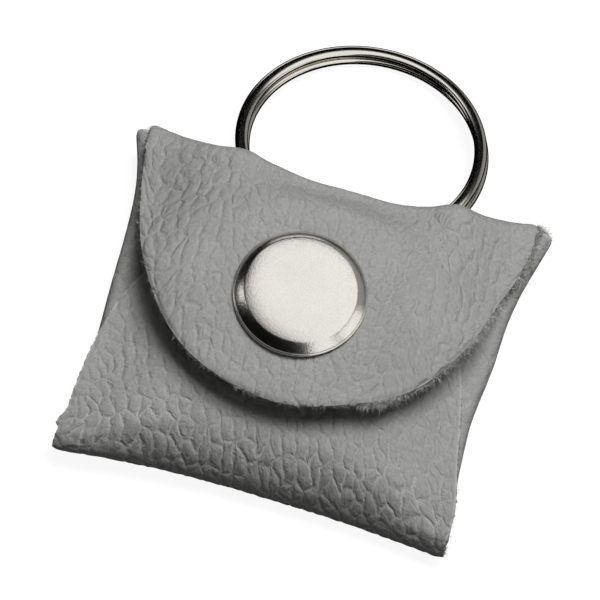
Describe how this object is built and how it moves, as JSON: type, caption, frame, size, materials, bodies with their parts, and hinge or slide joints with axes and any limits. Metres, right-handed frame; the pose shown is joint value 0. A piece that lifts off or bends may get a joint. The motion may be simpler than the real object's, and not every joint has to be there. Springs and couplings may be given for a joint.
{
  "type": "coin pouch",
  "caption": "Folded leather pouch for one trolley coin, with a snap-fastened flap and a split key ring through its top fold.",
  "frame": {"origin": "middle of the flat area of the back panel that the pouch rests on", "axes": "+X along the top fold, +Y from the pouch towards the key ring, +Z out of the front, through the snap's cap"},
  "size_m": [0.0466, 0.059, 0.0157],
  "materials": {
    "leather": "light grey pebble-grained leather, raw cut edges",
    "nickel": "nickel plate, satin on the cap's flat top and polished elsewhere",
    "steel": "plain steel"
  },
  "bodies": {
    "pouch": {"pouch_body": "leather", "top_fold": "leather", "snap_stud": "nickel", "stud_eyelet": "nickel"},
    "flap_side": {"flap": "leather", "snap_cap": "nickel", "cap_rivet": "steel", "snap_socket": "nickel", "socket_spring": "steel"},
    "ring": {"split_ring": "nickel"}
  },
  "joints": [
    {"name": "flap_hinge", "type": "hinge", "parent": "pouch", "child": "flap_side", "pos_m": [0, 0.0173, 0.01105], "axis": [-1, 0, 0], "range_deg": [0, 170]},
    {"name": "ring_swing", "type": "hinge", "parent": "pouch", "child": "ring", "pos_m": [0.0008, 0.0192, 0.00648], "axis": [1, 0, 0], "range_deg": [-4, 9]}
  ]
}
